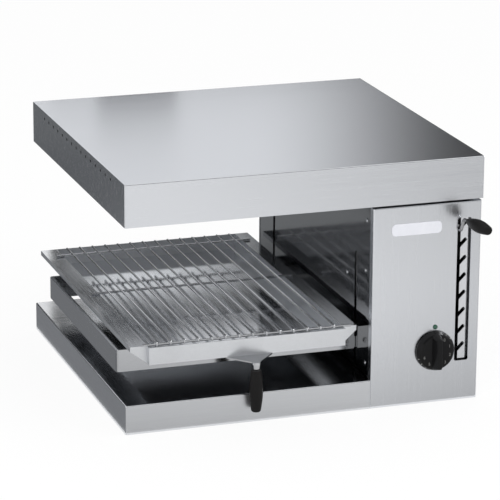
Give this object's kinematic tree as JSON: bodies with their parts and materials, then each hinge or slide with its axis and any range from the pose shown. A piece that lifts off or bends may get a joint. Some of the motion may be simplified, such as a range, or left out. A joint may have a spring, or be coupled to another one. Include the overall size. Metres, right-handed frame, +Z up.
{
  "type": "cheese melter",
  "caption": "Countertop cheese melter with a heated hood on a side column, a rack raised by a notched handle, and a sliding drip tray with wire grid.",
  "frame": {"origin": "on the resting face, under the centre of the hood", "axes": "+Z up, -Y to the front with the knob and handles, +X to the column's side"},
  "size_m": [0.6, 0.6728, 0.41],
  "materials": {
    "brushed_steel": "brushed stainless steel",
    "polished_steel": "mirror-like stainless steel",
    "zinc_steel": "zinc-plated steel",
    "reflector_steel": "bright aluminised sheet",
    "element_sheath": "oxidised alloy sheath, matt",
    "ceramic": "steatite",
    "mineral_wool": "mineral wool blanket",
    "gloss_black": "glossy black thermoset",
    "matt_black": "satin black thermoset",
    "chrome": "bright chrome",
    "green_lens": "green tinted lens",
    "housing_plastic": "moulded thermoset",
    "cable_steel": "stranded steel",
    "bronze": "sintered bronze"
  },
  "bodies": {
    "frame": {"base_casing": "brushed_steel", "base_plate": "zinc_steel", "base_stiffeners": "zinc_steel", "front_panel": "brushed_steel", "column_wall": "polished_steel", "wall_screws": "chrome", "side_panel": "brushed_steel", "back_panel": "brushed_steel", "column_top": "zinc_steel", "hood_plinth": "matt_black", "hood_casing": "brushed_steel", "hood_closing_plate": "zinc_steel", "reflector": "reflector_steel", "insulation": "mineral_wool", "heating_elements": "element_sheath", "element_rails": "reflector_steel", "element_terminals": "ceramic", "hood_screws": "zinc_steel", "notch_plate": "brushed_steel", "energy_regulator": "housing_plastic", "pilot_lens": "green_lens", "pilot_holder": "housing_plastic", "handle_cable": "cable_steel", "rack_cable": "cable_steel", "shaft_brackets": "zinc_steel", "shaft_bushes": "bronze", "idler_brackets": "zinc_steel", "idler_axles": "zinc_steel", "handle_rod": "chrome", "guide_rods": "chrome", "cable_gland": "matt_black", "terminal_block": "ceramic"},
    "rack": {"carriage_plate": "zinc_steel", "guide_blocks": "bronze", "cable_clamp": "zinc_steel", "front_arm": "brushed_steel", "rear_arm": "brushed_steel", "cradle_frame": "brushed_steel", "cradle_rails": "brushed_steel", "cradle_screws": "chrome"},
    "tray": {"drip_tray": "brushed_steel", "tray_handle_plate": "brushed_steel", "tray_ferrule": "chrome", "tray_grip": "matt_black"},
    "grid": {"wire_grid": "chrome"},
    "handle_slide_block": {"handle_slider": "zinc_steel"},
    "handle": {"handle_stem": "chrome", "handle_grip": "matt_black"},
    "cross_shaft": {"lift_shaft": "zinc_steel", "handle_pulley": "matt_black", "rack_pulley": "matt_black"},
    "handle_idler_wheel": {"handle_idler": "matt_black"},
    "rack_idler_wheel": {"rack_idler": "matt_black"},
    "knob_set": {"knob": "gloss_black", "regulator_spindle": "zinc_steel"}
  },
  "joints": [
    {"name": "rack_lift", "type": "slide", "parent": "frame", "child": "rack", "axis": [0, 0, 1], "range_m": [0, 0.1419]},
    {"name": "tray_slide", "type": "slide", "parent": "rack", "child": "tray", "axis": [0, -1, 0], "range_m": [0, 0.2]},
    {"name": "grid_lift_off", "type": "slide", "parent": "tray", "child": "grid", "axis": [0, 0, 1], "range_m": [0, 0.04]},
    {"name": "handle_travel", "type": "slide", "parent": "frame", "child": "handle_slide_block", "axis": [0, 0, -1], "range_m": [0, 0.2058]},
    {"name": "handle_latch", "type": "slide", "parent": "handle_slide_block", "child": "handle", "axis": [0.7071, 0, 0.7071], "range_m": [0, 0.0161]},
    {"name": "shaft_turn", "type": "hinge", "parent": "frame", "child": "cross_shaft", "pos_m": [0.2, -0.2205, 0.3], "axis": [1, 0, 0], "range_deg": [0, 407]},
    {"name": "handle_idler_turn", "type": "hinge", "parent": "frame", "child": "handle_idler_wheel", "pos_m": [0.2615, -0.2205, 0.037], "axis": [1, 0, 0], "range_deg": [0, 407]},
    {"name": "rack_idler_turn", "type": "hinge", "parent": "frame", "child": "rack_idler_wheel", "pos_m": [0.14, -0.2205, 0.037], "axis": [1, 0, 0], "range_deg": [0, 407]},
    {"name": "knob_turn", "type": "hinge", "parent": "frame", "child": "knob_set", "pos_m": [0.222, -0.2805, 0.089], "axis": [0, 1, 0], "range_deg": [0, 300]}
  ],
  "couplings": [
    {"joint": "handle_travel", "follows": "rack_lift", "ratio": 1.45},
    {"joint": "shaft_turn", "follows": "rack_lift", "rad_per_m": 50},
    {"joint": "handle_idler_turn", "follows": "rack_lift", "rad_per_m": 50},
    {"joint": "rack_idler_turn", "follows": "rack_lift", "rad_per_m": 50}
  ]
}
